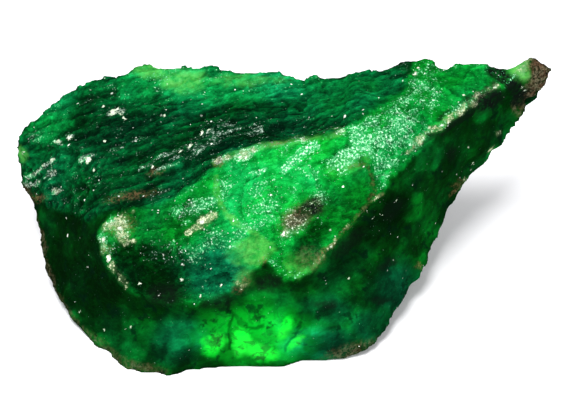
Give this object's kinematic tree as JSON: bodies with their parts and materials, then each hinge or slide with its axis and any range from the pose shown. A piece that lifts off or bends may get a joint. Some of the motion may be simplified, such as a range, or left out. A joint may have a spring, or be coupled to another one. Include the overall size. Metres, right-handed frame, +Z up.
{
  "type": "raw emerald crystal",
  "caption": "Broken piece of raw emerald: a leaning green crystal shard with a raised frosted slab, a dark hollow band, a narrow prow and a flat foot to rest on.",
  "frame": {"origin": "under the middle of the stone's bounding box, on the surface that it rests on", "axes": "+X along the stone's length from the blunt end to the prow, +Z up, -Y the side that the broad face looks to"},
  "size_m": [0.0668, 0.0338, 0.0263],
  "materials": {
    "emerald": "satin"
  },
  "bodies": {
    "root": {"emerald_crystal": "emerald"}
  },
  "joints": []
}
